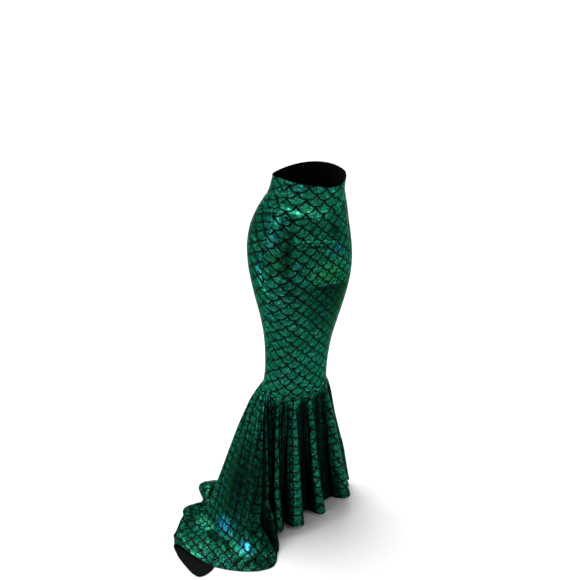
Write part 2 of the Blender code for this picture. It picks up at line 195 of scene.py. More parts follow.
# Creases pressed into the fitted part. Troughs have a negative height.
# from angle, drop, to angle, drop, half width, height
CREASES = (
    (66.0, 0.062, 20.0, 0.068, 0.008, 0.0016),
    (60.0, 0.056, 46.0, 0.061, 0.005, 0.0016),
    (42.0, 0.065, 24.0, 0.070, 0.005, 0.0014),
    (14.0, 0.072, -8.0, 0.081, 0.005, 0.0012),
    (24.0, 0.086, -12.0, 0.090, 0.003, 0.0012),
    (78.0, 0.066, 75.0, 0.112, 0.004, 0.0018),
    (60.0, 0.094, 40.0, 0.130, 0.008, -0.0012),
    (32.0, 0.147, 18.0, 0.152, 0.0045, 0.0026),
    (19.0, 0.151, -2.0, 0.161, 0.0050, 0.0032),
    (0.0, 0.163, -18.0, 0.178, 0.0045, 0.0020),
    (32.0, 0.156, -16.0, 0.187, 0.006, -0.0022),
    (92.0, 0.226, 73.0, 0.247, 0.0045, 0.0026),
    (92.0, 0.236, 72.0, 0.257, 0.0045, -0.0020),
    (88.0, 0.246, 70.0, 0.267, 0.0045, 0.0024),
    (90.0, 0.260, 76.0, 0.287, 0.0045, 0.0028),
    (84.0, 0.258, 68.0, 0.282, 0.0045, -0.0018),
    (84.0, 0.282, 68.0, 0.299, 0.0045, 0.0026),
    (96.0, 0.276, 84.0, 0.300, 0.0045, 0.0014),
    (52.0, 0.100, 45.0, 0.250, 0.020, -0.0028),
    (-66.0, 0.066, -22.0, 0.072, 0.007, 0.0015),
    (-60.0, 0.225, -74.0, 0.262, 0.005, 0.0016),
    (-64.0, 0.240, -80.0, 0.282, 0.005, -0.0014),
    (-50.0, 0.105, -44.0, 0.230, 0.018, -0.0020),
    (108.0, 0.066, 150.0, 0.070, 0.007, 0.0014),
    (206.0, 0.068, 250.0, 0.072, 0.007, 0.0015),
    (150.0, 0.300, 210.0, 0.306, 0.007, -0.0020),
    (156.0, 0.322, 222.0, 0.318, 0.006, 0.0014),
    (128.0, 0.286, 150.0, 0.318, 0.006, -0.0016),
    (238.0, 0.280, 216.0, 0.322, 0.006, -0.0015),
    (170.0, 0.560, 196.0, 0.566, 0.006, -0.0014),
    (176.0, 0.590, 204.0, 0.584, 0.006, 0.0012),
    (100.0, 0.560, 84.0, 0.600, 0.005, -0.0010),
    (40.0, 0.600, 20.0, 0.612, 0.006, -0.0008),
)

# Fine folds of the flounce, between and on the large ones.
# angle at the knee, angle at the hem, half width, height at 1/3, at 2/3, at the hem
FINE_FOLDS = (
    (-90.0, -92.0, 2.0, 0.0020, 0.0030, 0.0030),
    (-72.0, -74.0, 2.2, 0.0024, 0.0030, 0.0020),
    (-46.0, -49.0, 2.0, -0.0020, -0.0030, -0.0030),
    (-31.0, -33.0, 1.8, 0.0018, 0.0030, 0.0025),
    (-25.0, -26.0, 2.4, 0.0030, 0.0030, 0.0010),
    (-9.0, -8.5, 1.3, 0.0016, 0.0026, 0.0026),
    (7.0, 2.0, 1.8, -0.0016, -0.0024, -0.0020),
    (13.0, 12.0, 2.4, 0.0034, 0.0030, 0.0010),
    (21.0, 20.0, 2.0, 0.0020, 0.0026, 0.0024),
    (33.0, 31.0, 1.3, -0.0026, -0.0034, -0.0024),
    (39.0, 37.0, 2.0, 0.0018, 0.0024, 0.0020),
    (53.0, 52.0, 1.7, 0.0026, 0.0022, 0.0010),
    (64.0, 63.0, 1.4, -0.0018, -0.0026, -0.0022),
    (70.0, 68.0, 1.8, 0.0026, 0.0028, 0.0016),
    (82.0, 81.0, 1.8, 0.0024, 0.0026, 0.0018),
    (88.0, 89.0, 1.5, -0.0018, -0.0024, -0.0012),
    (97.0, 97.0, 1.8, 0.0020, 0.0024, 0.0012),
    (102.0, 102.0, 1.5, 0.0024, 0.0020, 0.0004),
    (107.0, 106.0, 1.6, -0.0020, -0.0016, 0.0000),
    (123.0, 121.0, 2.2, 0.0026, 0.0018, 0.0000),
    (129.0, 127.0, 2.0, -0.0020, -0.0012, 0.0000),
    (147.0, 146.0, 2.4, 0.0022, 0.0012, 0.0000),
    (154.0, 152.0, 2.4, -0.0020, -0.0010, 0.0000),
    (172.0, 171.0, 3.0, 0.0040, 0.0024, 0.0000),
    (198.0, 199.0, 3.0, 0.0034, 0.0040, 0.0016),
    (222.0, 222.0, 3.0, 0.0038, 0.0040, 0.0016),
    (245.0, 245.0, 2.6, 0.0034, 0.0040, 0.0020),
)

# Soft pleats under the knee seam: height, share of a fold's width, then the shares of the
# drop where they begin, are highest and end. The cloth between them is sunk by a share of
# their height, and they rise by a power of the drop.
UPPER_FOLD, UPPER_WIDTH = 0.0085, 0.80
UPPER_START, UPPER_PEAK, UPPER_END = 0.02, 0.12, 0.40
UPPER_SUNK, UPPER_RISE_POWER = 0.45, 0.6

SEAM_DEPTH, SEAM_WIDTH = 0.0011, 0.0022
# Ripple beside a seam: height and how far it reaches, at the sides and at the lower end.
SIDE_RIPPLE, SIDE_RIPPLE_REACH = 0.0007, 0.012
END_RIPPLE, END_RIPPLE_REACH = 0.0004, 0.010
# Down the side seams the ripple turns by this many degrees per level, from this angle.
SIDE_RIPPLE_TURN, SIDE_RIPPLE_START = 115, 40
PUCKER_DEPTH, PUCKER_REACH, PUCKER_START = 0.0018, 0.030, 0.003
HEM_DEPTH = 0.018
HEM_SWELL, HEM_SINK, HEM_SINK_WIDTH = 0.0006, 0.0015, 0.0026
CRUMPLE, CRUMPLES_PER_METRE = 0.0034, 21.0
# Where the flounce lies on the floor: first level, levels to full, first and last angle.
LYING_LEVEL, LYING_FADE, LYING_FIRST, LYING_LAST = 2.62, 0.1, 92, 262
# Height of a crease whose crest gets the full painted highlight.
RIDGE, TRAIN_RIDGE = 0.0022, 0.0090

# Where the cloth stands off the bend between the hanging part and the train.
# angle, level, half angle, half level, height
BEND_FILL = (133.0, 2.705, 25.0, 0.090, 0.0085)

# Creases of the train where it lies on the floor, seen from above.
# from x, y, to x, y, half width, height
TRAIN_CREASES = (
    (-0.246, 0.205, -0.285, 0.112, 0.011, 0.0030),
    (-0.280, 0.122, -0.326, 0.036, 0.012, 0.0024),
    (-0.284, 0.172, -0.330, 0.140, 0.010, -0.0022),
    (-0.244, 0.120, -0.272, 0.050, 0.010, 0.0034),
    (-0.284, 0.050, -0.300, -0.050, 0.012, 0.0014),
    (-0.300, 0.020, -0.340, -0.014, 0.010, -0.0020),
    (-0.240, 0.042, -0.250, -0.008, 0.009, 0.0030),
    (-0.248, 0.004, -0.238, -0.066, 0.010, 0.0030),
    (-0.288, 0.236, -0.246, 0.196, 0.010, 0.0034),
    (-0.300, 0.210, -0.270, 0.168, 0.010, -0.0030),
    (-0.350, 0.150, -0.372, 0.070, 0.010, 0.0028),
    (-0.262, -0.050, -0.310, -0.060, 0.010, -0.0026),
    (-0.210, -0.060, -0.236, -0.110, 0.010, 0.0030),
    (-0.176, 0.262, -0.206, 0.210, 0.010, 0.0030),
    (-0.120, 0.290, -0.110, 0.235, 0.012, -0.0030),
    (-0.066, 0.292, -0.060, 0.236, 0.011, 0.0034),
    (0.010, 0.280, 0.000, 0.228, 0.012, -0.0028),
    (0.060, 0.262, 0.046, 0.212, 0.011, 0.0030),
    (0.116, 0.214, 0.092, 0.170, 0.010, 0.0026),
)


def hermite(t, here, there, leave, arrive):
    """Cubic from here to there as t runs 0 to 1, with given slopes at both ends."""
    keep = (1 + 2 * t) * (1 - t) ** 2
    gain = t * t * (3 - 2 * t)
    return keep * here + gain * there + t * (1 - t) ** 2 * leave + t * t * (t - 1) * arrive


def smooth(xs, ys, x):
    """Value at x of the smooth curve that passes through the points (xs, ys)."""
    xs = np.asarray(xs, float)
    ys = np.asarray(ys, float)
    slopes = np.gradient(ys, xs, axis=0)
    x = np.clip(np.asarray(x, float), xs[0], xs[-1])
    i = np.clip(np.searchsorted(xs, x, side="right") - 1, 0, len(xs) - 2)
    span = xs[i + 1] - xs[i]
    t = (x - xs[i]) / span
    if ys.ndim > 1:
        t = t[..., None]
        span = span[..., None]
    return hermite(t, ys[i], ys[i + 1], slopes[i] * span, slopes[i + 1] * span)


def around(table, angle):
    """Rows of a table that closes on itself after a full turn, at any angle."""
    rows = np.array(table[:-1])
    full_turn = np.r_[360.0, np.zeros(rows.shape[1] - 1)]
    rows = np.concatenate([rows - full_turn, rows, rows + full_turn])
    return smooth(rows[:, 0], rows[:, 1:], angle)


def unit(vectors):
    return vectors / np.maximum(np.linalg.norm(vectors, axis=-1, keepdims=True), 1e-12)


def bump(distance):
    """Round ridge of height 1 that is level with its surroundings at distance 1."""
    return np.where(np.abs(distance) < 1, np.cos(distance * math.pi / 2) ** 2, 0.0)


def apart(angle, centre):
    """Signed difference of two angles, by the shorter way round."""
    return (angle - centre + 180.0) % 360.0 - 180.0


def waist_lift(angle):
    """How far the waist edge is pulled up on the wearer's right and down left of the front."""
    return sum(height * bump(apart(angle, middle) / reach) for middle, reach, height in WAIST_LIFTS)


def waist_edge(angle):
    return waist_lift(angle) - WAIST_DIP * (1 + np.cos(np.radians(angle)))


def band_seam(angle):
    turn = np.radians(angle)
    return BAND_SEAM - BAND_SIDE_DIP * np.cos(2 * turn) - BAND_FRONT_DIP * np.cos(turn)


def knee_seam(angle):
    return KNEE_SEAM - KNEE_FRONT_DIP * np.cos(np.radians(angle))


def fitted(angle, z):
    """Point of the fitted part at an angle and height."""
    body = np.array(BODY)
    half, front, back, centre = np.moveaxis(smooth(body[:, 0], body[:, 1:], -z), -1, 0)
    across = -np.sin(np.radians(angle))
    along = -np.cos(np.radians(angle))
    swell = np.abs(across) ** ROUNDNESS + np.abs(along) ** ROUNDNESS
    reach = swell ** (-1 / ROUNDNESS)
    depth = np.where(along < 0, front, back)
    for centre_angle, drop, wide, tall, deep in TROUGHS:
        trough = bump(apart(angle, centre_angle) / wide) * bump((-z - drop) / tall)
        reach = reach - deep * trough
    return np.stack([half * reach * across, centre + depth * reach * along, z], axis=-1)


def fold_out(folds, angle, down):
    """How far the folds stand out of the flounce; down runs 0 at the knee to 1 at the hem."""
    total = np.zeros(np.broadcast(angle, down).shape)
    for knee, hem, wide, third, two_thirds, full in folds:
        height = smooth(FOLD_SHARES, (0.0, 0.0, third, two_thirds, full), down)
        middle = knee + (hem - knee) * down
        total = total + height * bump(apart(angle, middle) / wide)
    return total


def upper_folds(angle, down):
    """Soft pleats that let the large folds start right under the knee seam."""
    total = 0.0
    for knee, hem, wide, *_ in FOLDS:
        total = total + bump(apart(angle, knee + (hem - knee) * down) / (UPPER_WIDTH * wide))
    past_peak = np.maximum(down - UPPER_PEAK, 0) / (UPPER_END - UPPER_PEAK)
    fade = np.clip(down / UPPER_START, 0, 1) * bump(past_peak)
    rise = np.clip(down / UPPER_PEAK, 0, 1) ** UPPER_RISE_POWER
    return UPPER_FOLD * (np.clip(total, 0, 1) - UPPER_SUNK) * fade * rise


def fall_line(angle):
    """Levels and points that the flounce passes through from the knee to the hem at each angle."""
    top = fitted(angle, knee_seam(angle))
    station = around(STATIONS, angle)
    touch = station[..., 0:3] + (0, 0, FLOOR)
    hem = station[..., 3:6] + (0, 0, FLOOR)
    rise = station[..., 6:7]
    levels = [share * TOUCH for share, _ in FLARE]
    points = [top + (touch - top) * (spread, spread, share) for share, spread in FLARE]
    table = np.array(ROLL)
    roll = smooth(table[:, 0], table[:, 1:], angle)
    rolled = roll[..., 0:1]
    crest = roll[..., 1:4] + (0, 0, FLOOR)
    lift = roll[..., 4:5] * UP
    for level, anchor, raised in ((NEAR, touch, lift), (CREST, None, 0), (FAR, hem, -lift)):
        share = (level - TOUCH) / (1 - TOUCH)
        lying = touch + (hem - touch) * share + rise * math.sin(math.pi * share) * UP
        turned = crest + raised
        if anchor is not None:
            turned = turned + unit((anchor - crest) * LEVEL_PLANE) * ROLL_DEPTH
        points.append(lying + (turned - lying) * rolled)
        levels.append(level)
    return np.array(levels + [1.0]), np.stack(points + [hem])


def flounce(angle, down):
    """Point of the flounce; down runs 0 at the knee seam to 1 at the hem."""
    levels, points = fall_line(angle)
    slopes = np.gradient(points, levels, axis=0)
    i = np.clip(np.searchsorted(levels, down, side="right") - 1, 0, len(levels) - 2)
    span = (levels[i + 1] - levels[i])[..., None]
    t = (down - levels[i])[..., None] / span
    spot = tuple(np.indices(i.shape))
    here, there = points[(i, *spot)], points[(i + 1, *spot)]
    leave, arrive = slopes[(i, *spot)] * span, slopes[(i + 1, *spot)] * span
    return hermite(t, here, there, leave, arrive)


def direction_out(surface, angle, level, steps, low, high):
    """Outward direction of a surface, read over a step each way and between two end levels."""
    turn, drop = steps
    across = surface(angle + turn, level) - surface(angle - turn, level)
    lower = surface(angle, np.minimum(level + drop, high))
    upper = surface(angle, np.maximum(level - drop, low))
    return unit(np.cross(across, lower - upper))


def folded(angle, down):
    """The flounce with its large folds standing out of it."""
    out = direction_out(flounce, angle, down, CARRIER_STEP, 0, 1)
    return flounce(angle, down) + out * fold_out(FOLDS, angle, down)[..., None]


def skirt(angle, level):
    """Point of the inside of the skirt at any angle and level."""
    angle, level = np.broadcast_arrays(angle, level)
    top, band, knee = waist_edge(angle), band_seam(angle), knee_seam(angle)
    z = np.where(level < 1, top + (band - top) * level, band + (knee - band) * (level - 1))
    above = fitted(angle, np.maximum(z, knee))
    below = folded(angle, np.clip(level - 2, 0, 1))
    return np.where(level[..., None] <= 2, above, below)


def seam_angle(level):
    table = np.array(SIDE_SEAM)
    return smooth(table[:, 0], table[:, 1], level)


# -------------------------------------------------------------------- cutting the cloth

FINE_STEPS = 4001
# Share of a crease's length over which it fades, each way from its middle.
CREASE_REACH = 0.6
# Waves of the gathers in a full turn.
GATHER_WAVES = (17, 23, 31, 43)


def crowded(first, last, count, spots):
    """count + 1 numbers from first to last, closer together at spots.

    Each spot is a centre, a half width and a weight.
    """
    fine = np.linspace(first, last, FINE_STEPS)
    weight = np.ones_like(fine)
    for centre, half, extra in spots:
        weight = weight + extra * bump((fine - centre) / half)
    total = np.r_[0, np.cumsum((weight[1:] + weight[:-1]) / 2)]
    return np.interp(np.linspace(0, 1, count + 1), total / total[-1], fine)


def pressed(x, y, run, fall, half):
    """Share of a crease's height at x, y from its start; it goes by run and fall."""
    along = (x * run + y * fall) / (run * run + fall * fall)
    aside = (y * run - x * fall) / math.hypot(run, fall)
    return bump(aside / half) * bump((along - 0.5) / CREASE_REACH)


def body_creases(angle, points):
    """Height of the listed creases over the fitted part."""
    drop = -points[..., 2]
    total = np.zeros(angle.shape)
    for from_angle, from_drop, to_angle, to_drop, half, height in CREASES:
        run = math.radians(to_angle - from_angle) * BODY_RADIUS
        x = np.radians(apart(angle, from_angle)) * BODY_RADIUS
        total = total + height * pressed(x, drop - from_drop, run, to_drop - from_drop, half)
    return total


def train_creases(points):
    """Height of the listed creases of the train, seen from above."""
    total = np.zeros(points.shape[:-1])
    for from_x, from_y, to_x, to_y, half, height in TRAIN_CREASES:
        x, y = points[..., 0] - from_x, points[..., 1] - from_y
        total = total + height * pressed(x, y, to_x - from_x, to_y - from_y, half)
    return total


def running(steps, axis):
    """Steps added up along an axis, from 0."""
    start = np.zeros_like(np.take(steps, [0], axis=axis))
    return np.concatenate([start, np.cumsum(steps, axis=axis)], axis=axis)


def gathers(angle, seed):
    """Uneven ripple round a seam, up to about 1.2 each way."""
    turn = np.radians(angle)
    total = np.zeros_like(turn)
    for i, waves in enumerate(GATHER_WAVES):
        total = total + np.sin(waves * turn + seed + 1.9 * i) / (1.3 + 0.3 * i)
    return total / 2


def crumpled(points, scale):
    """Faceted noise for cloth that lies in a heap."""
    flat = points.reshape(-1, 3)
    values = [noise.turbulence(Vector(p) * scale, 2, True, noise_basis="PERLIN_ORIGINAL") for p in flat]
    return np.array(values).reshape(points.shape[:-1])


def side_ends(side, seam):
    """Angles of the side seams at the two ends of a front or a back piece."""
    return (-seam, seam) if side == "front" else (seam, 360 - seam)


class Piece:
    """One cut piece of cloth as a fine grid of angles and levels, with its lengths."""

    def __init__(self, name, side, columns, levels):
        self.name = name
        share, self.level = np.meshgrid(columns, levels, indexing="ij")
        first, last = side_ends(side, seam_angle(self.level))
        self.angle = first + (last - first) * share
        self.middle = 0.0 if side == "front" else 180.0
        plain = skirt(self.angle, self.level)
        out = direction_out(skirt, self.angle, self.level, SURFACE_STEP, 0, 3)
        self.shape_cloth(plain, out)

    def shape_cloth(self, plain, out):
        """Sets the outer points, and the lengths across and down the cloth."""
        self.across = running(np.linalg.norm(np.diff(plain, axis=0), axis=-1), 0)
        self.down = running(np.linalg.norm(np.diff(plain, axis=1), axis=-1), 1)
        to_side = np.minimum(self.across, self.across[-1] - self.across)
        from_top = self.down
        from_bottom = self.down[:, -1:] - self.down
        creases = np.zeros(plain.shape[:-1])
        height = -SEAM_DEPTH * np.exp(-((to_side / SEAM_WIDTH) ** 2))
        ripple = gathers(self.level * SIDE_RIPPLE_TURN + SIDE_RIPPLE_START, 2.0)
        height = height + SIDE_RIPPLE * ripple * np.exp(-to_side / SIDE_RIPPLE_REACH)
        if self.level.max() <= 2:
            creases = body_creases(self.angle, plain)
        if self.level.min() > 0:
            height = height - SEAM_DEPTH * np.exp(-((from_top / SEAM_WIDTH) ** 2))
        if self.level.max() < 3:
            height = height - SEAM_DEPTH * np.exp(-((from_bottom / SEAM_WIDTH) ** 2))
            fade = np.exp(-from_bottom / END_RIPPLE_REACH)
            height = height + END_RIPPLE * gathers(self.angle, 0.7) * fade
        if self.level.max() == 3:
            fade = np.exp(-from_top / PUCKER_REACH) * (1 - np.exp(-from_top / PUCKER_START))
            height = height + PUCKER_DEPTH * gathers(self.angle, 4.0) * fade
            down = self.level - 2
            height = height + fold_out(FINE_FOLDS, self.angle, down) + upper_folds(self.angle, down)
            lying = np.clip((self.level - LYING_LEVEL) / LYING_FADE, 0, 1)
            lying = lying * (self.angle > LYING_FIRST) * (self.angle < LYING_LAST)
            crumple = CRUMPLE * (crumpled(plain, CRUMPLES_PER_METRE) - 0.5)
            creases = lying * (train_creases(plain) + crumple)
            height = height + HEM_SWELL * np.clip(1 - from_bottom / HEM_DEPTH, 0, 1) ** 0.3
            height = height - HEM_SINK * bump((from_bottom - HEM_DEPTH) / HEM_SINK_WIDTH)
        self.from_hem = from_bottom
        # Share of a crease's crest height, for its painted highlight.
        self.ridges = np.clip(creases / (TRAIN_RIDGE if self.level.max() == 3 else RIDGE), 0, 1)
        self.outer = plain + out * (WALL + height + creases)[..., None]
        angle, level, half_angle, half_level, fill = BEND_FILL
        wide = bump(apart(self.angle, angle) / half_angle) ** 0.5
        self.outer[..., 2] += fill * (wide * bump((self.level - level) / half_level))
        lift = np.maximum(FLOOR + WALL - self.outer[..., 2], 0)
        self.outer[..., 2] += lift
        du = np.gradient(self.outer, axis=0)
        dv = np.gradient(self.outer, axis=1)
        self.out = unit(np.cross(du, dv))


def build_shell(piece, thickness, face, reverse, lie):
    """Closed thin shell of one piece: printed face outside, matt reverse inside."""
    start = PRINT_START[piece.name]
    uv = lie * start[2:] + start[:2]
    rows, cols = piece.level.shape
    inner = piece.outer - piece.out * thickness[..., None]
    inner[..., 2] = np.maximum(inner[..., 2], FLOOR)
    index = np.arange(rows * cols).reshape(rows, cols)
    top = np.stack([index[:-1, :-1], index[1:, :-1], index[1:, 1:], index[:-1, 1:]], -1).reshape(-1, 4)
    below = top[:, ::-1] + rows * cols
    rim = np.concatenate([index[:, 0], index[-1, 1:], index[-2::-1, -1], index[0, -2:0:-1]])
    ahead = np.roll(rim, -1)
    edge = np.stack([rim, rim + rows * cols, ahead + rows * cols, ahead], -1)
    points = np.concatenate([piece.outer.reshape(-1, 3), inner.reshape(-1, 3)])
    faces = np.concatenate([top, below, edge])
    mesh = bpy.data.meshes.new(piece.name + "_cloth")
    mesh.from_pydata(points.tolist(), [], faces.tolist())
    mesh.materials.append(face)
    mesh.materials.append(reverse)
    slots = np.concatenate([np.zeros(len(top)), np.ones(len(below)), np.zeros(len(edge))]).astype(int)
    mesh.polygons.foreach_set("material_index", slots)
    mesh.shade_smooth()
    loops = np.empty(len(mesh.loops), int)
    mesh.loops.foreach_get("vertex_index", loops)
    flat_uv = np.concatenate([uv.reshape(-1, 2)] * 2)
    mesh.uv_layers.new(name="cloth").data.foreach_set("uv", flat_uv[loops].ravel())
    # Point attributes of painted reflection colour and of painted light and shade.
    for attribute, values in (("tint", tinted(piece)), ("lustre", painted_light_over(piece))):
        mesh.attributes.new(attribute, "FLOAT", "POINT").data.foreach_set("value", np.tile(values.ravel(), 2))
    shell = bpy.data.objects.new(piece.name + "_cloth", mesh)
    bpy.context.scene.collection.objects.link(shell)
    return shell


# --------------------------------------------------------------------- lie of the print

SCALE_WIDTH, ROW_PITCH = 0.036, 0.0193

# How far the fitted cloth is stretched, which widens and lengthens the scales.
# level, across at the front, across at the sides and back, down
BAND_STRETCH = ((0.0, 1.42, 1.40, 0.97), (0.5, 1.44, 1.40, 0.97), (1.0, 1.44, 1.42, 0.97))
BODY_STRETCH = (
    (1.0, 1.05, 1.44, 0.92),
    (1.2, 1.00, 1.38, 0.94),
    (1.4, 1.02, 1.25, 1.02),
    (1.6, 0.95, 1.16, 1.05),
    (1.8, 1.00, 1.06, 1.03),
    (2.0, 1.05, 1.06, 0.98),
)
FRONT_REACH = (14.0, 52.0)

# How far the rows of scales lie below level lines on the body, at the front and at the sides.
# level, front, sides, shift of the print across
BODY_ROW_DROP = (
    (1.0, 0.0005, -0.0080, 0.0000),
    (1.2, 0.0024, -0.0072, -0.0010),
    (1.4, 0.0075, -0.0025, 0.0000),
    (1.6, 0.0090, -0.0022, 0.0000),
    (1.8, 0.0075, 0.0000, 0.0050),
    (2.0, 0.0100, 0.0040, 0.0050),
)
# The rows of the waistband rise to this angle by this much.
BAND_RISE_ANGLE, BAND_RISE = 52.0, 0.024

# Where the print starts on each piece, and its size there: across, down, scale across, scale down.
PRINT_START = {
    "waistband_front": (0.013, -0.005, 1.0, 1.0),
    "waistband_back": (0.004, 0.006, 1.0, 1.0),
    "panel_front": (-0.008, 0.0, 1.0, 1.0),
    "panel_back": (-0.016, 0.0025, 1.0, 1.0),
    "flounce_front": (-0.0074, -0.0079, 0.86, 1.05),
    "flounce_back": (0.006, -0.004, 0.95, 1.12),
}

# Turn of the print against each piece of the flounce laid flat, changing in the valleys.
# angle, turn
FRONT_GRAIN = (
    (-95.0, 56.0),
    (-75.0, 56.0),
    (-68.0, 38.0),
    (-53.0, 38.0),
    (-47.0, 15.0),
    (-22.0, 15.0),
    (-16.0, -12.0),
    (10.0, -12.0),
    (16.0, -33.0),
    (43.0, -33.0),
    (48.0, -46.0),
    (68.0, -46.0),
    (73.0, -60.0),
    (95.0, -60.0),
)
BACK_GRAIN = ((95.0, 33.0), (265.0, 33.0))


def middle_shift(piece, lengths):
    """Length at the middle of the piece, in each row."""
    return np.array([np.interp(piece.middle, a, s) for a, s in zip(piece.angle.T, lengths.T)])


def fitted_print(piece):
    """Cloth coordinates of a stretched piece: across from its middle, and down."""
    table = np.array(BAND_STRETCH if piece.level.max() <= 1 else BODY_STRETCH)
    front, side, long = np.moveaxis(smooth(table[:, 0], table[:, 1:], piece.level), -1, 0)
    near, far = FRONT_REACH
    share = np.clip((np.abs(apart(piece.angle, 0)) - near) / (far - near), 0, 1)
    wide = front + (side - front) * share * share * (3 - 2 * share)
    across = running(np.diff(piece.across, axis=0) / (wide[1:] + wide[:-1]) * 2, 0)
    across = across - middle_shift(piece, across)
    down = running(np.diff(piece.down, axis=1) / (long[:, 1:] + long[:, :-1]) * 2, 1)
    if piece.level.max() <= 1:
        rise = BAND_RISE * np.sin(np.radians(piece.angle - BAND_RISE_ANGLE)) ** 2 * (piece.middle == 0)
        return np.stack([across, down - rise - waist_lift(piece.angle)], -1)
    table = np.array(BODY_ROW_DROP)
    middle, sides, aside = np.moveaxis(smooth(table[:, 0], table[:, 1:], piece.level), -1, 0)
    drop = middle + (sides - middle) * share * share * (3 - 2 * share)
    return np.stack([across + aside, down + drop * (piece.middle == 0)], -1)


def at_lines(values, lines, count):
    """Values given on some of count lines, filled in evenly between them."""
    every = np.arange(count)
    return np.array([np.interp(every, lines, row) for row in values.T]).T


FLAT_COLUMNS, FLAT_ROWS, FLAT_ROUNDS = 64, 22, 400


def flattened(piece):
    """The piece laid flat, its lengths nearly kept: settles a net of threads to their own lengths."""
    points = piece.outer
    columns = np.linspace(0, points.shape[0] - 1, FLAT_COLUMNS).astype(int)
    rows = np.linspace(0, points.shape[1] - 1, FLAT_ROWS).astype(int)
    net = np.ix_(columns, rows)
    across, down = np.diff(piece.across[net], axis=0), np.diff(piece.down[net], axis=1)
    lean = (unit(np.gradient(points, axis=0)) * unit(np.gradient(points, axis=1))).sum(-1)
    lean = np.add.reduceat(np.add.reduceat(lean, columns[:-1], axis=0), rows[:-1], axis=1)
    lean = np.clip(lean / np.diff(columns)[:, None] / np.diff(rows), -0.95, 0.95)
    wide, long = (across[:, 1:] + across[:, :-1]) / 2, (down[1:] + down[:-1]) / 2
    index = np.arange(FLAT_COLUMNS * FLAT_ROWS).reshape(FLAT_COLUMNS, FLAT_ROWS)
    threads = (
        (index[:-1], index[1:], across),
        (index[:, :-1], index[:, 1:], down),
        (index[:-1, :-1], index[1:, 1:], np.sqrt(wide**2 + long**2 + 2 * wide * long * lean)),
        (index[1:, :-1], index[:-1, 1:], np.sqrt(wide**2 + long**2 - 2 * wide * long * lean)),
    )
    start, end, length = (np.concatenate([thread[k].ravel() for thread in threads]) for k in range(3))
    pull = 1 / np.maximum(length, 1e-4)
    reach = piece.down[net][:, FLAT_ROWS // 2]
    widening = piece.across[net][:, FLAT_ROWS // 2] - piece.across[columns, 0]
    turn = np.maximum.accumulate(widening / np.median(reach))
    turn = turn - turn.mean()
    radius = piece.across[-1, 0] / np.ptp(turn)
    spread = radius + piece.down[net]
    flat = np.stack([spread * np.sin(turn)[:, None], spread * np.cos(turn)[:, None]], -1).reshape(-1, 2)
    size = len(flat)
    stiffness = np.full((size, size), 1 / size)
    np.add.at(stiffness, (start, start), pull)
    np.add.at(stiffness, (end, end), pull)
    np.add.at(stiffness, (start, end), -pull)
    np.add.at(stiffness, (end, start), -pull)
    settle = np.linalg.inv(stiffness)
    for _ in range(FLAT_ROUNDS):
        along = flat[start] - flat[end]
        force = along * (pull * length / np.maximum(np.linalg.norm(along, axis=1), 1e-9))[:, None]
        load = np.zeros_like(flat)
        np.add.at(load, start, force)
        np.add.at(load, end, -force)
        flat = settle @ load
    flat = flat.reshape(FLAT_COLUMNS, FLAT_ROWS, 2)
    count, levels = points.shape[:2]
    fine = [at_lines(at_lines(flat[..., k], columns, count).T, rows, levels).T for k in range(2)]
    return np.stack(fine, -1)


def flounce_print(piece, grain):
    """Cloth coordinates of a flounce piece, laid flat and turned to the grain of the print.

    Where the grain changes, a wedge of cloth is taken as gathered away below that knee point.
    """
    angles, turns = zip(*grain)
    turn = np.exp(1j * np.radians(np.interp(piece.angle[:, 0], angles, turns)))
    flat = flattened(piece)
    flat = flat[..., 0] + 1j * flat[..., 1]
    knee = flat[:, 0]
    steps = np.diff(knee) * (turn[1:] + turn[:-1]) / 2
    seam = np.concatenate([[0], np.cumsum(steps)])
    middle = np.interp(piece.middle, piece.angle[:, 0], seam.real)
    lie = turn[:, None] * (flat - knee[:, None]) + seam[:, None] - middle
    return np.stack([lie.real, lie.imag], -1)


# ------------------------------------------------------------------------------ materials


class Wire:
    """A number that varies over the cloth. Arithmetic on it adds Math nodes."""

    def __init__(self, board, socket):
        self.board = board
        self.socket = socket

    def math(self, operation, *others):
        terms = dict(enumerate((self, *others)))
        return self.board.node("ShaderNodeMath", {"operation": operation}, terms)

    def __add__(self, other):
        return self.math("ADD", other)

    __radd__ = __add__

    def __mul__(self, other):
        return self.math("MULTIPLY", other)

    __rmul__ = __mul__

    def __sub__(self, other):
        return self.math("SUBTRACT", other)

    def __rsub__(self, other):
        return (self * -1) + other

    def __truediv__(self, other):
        return self.math("DIVIDE", other)

    def __pow__(self, other):
        return self.math("POWER", other)

    def step(self, low, high):
        """0 below low and 1 above high, smooth between; low may be the larger one."""
        ends = {"From Min": low, "From Max": high, "Value": self}
        return self.board.node("ShaderNodeMapRange", {"interpolation_type": "SMOOTHSTEP"}, ends)


class Board:
    """A tree of nodes, with short ways to add to it."""

    def __init__(self, tree):
        self.tree = tree

    def node(self, kind, settings=None, sockets=None, output=0):
        made = self.tree.nodes.new(kind)
        for key, value in (settings or {}).items():
            if key == "stops":
                self.set_stops(made.color_ramp, value)
            else:
                setattr(made, key, value)
        for key, value in (sockets or {}).items():
            self.join(made.inputs[key], value)
        return Wire(self, made.outputs[output])

    def set_stops(self, ramp, stops):
        while len(ramp.elements) < len(stops):
            ramp.elements.new(1.0)
        for element, (place, colour) in zip(ramp.elements, stops):
            element.position = place
            element.color = (*colour, 1.0)

    def join(self, socket, value):
        if isinstance(value, Wire):
            self.tree.links.new(value.socket, socket)
        elif socket.type == "RGBA" and len(value) == 3:
            socket.default_value = (*value, 1.0)
        else:
            socket.default_value = value

    def mix(self, factor, first, second):
        """Colour between first and second."""
        sockets = {0: factor, 6: first, 7: second}
        return self.node("ShaderNodeMix", {"data_type": "RGBA"}, sockets, output=2)

    def scaled(self, place, factor):
        return self.node("ShaderNodeVectorMath", {"operation": "SCALE"}, {0: place, "Scale": factor})

    def noise(self, place, size, detail=2.0, roughness=0.5):
        sockets = {"Vector": place, "Scale": 1 / size, "Detail": detail, "Roughness": roughness}
        return self.node("ShaderNodeTexNoise", None, sockets)


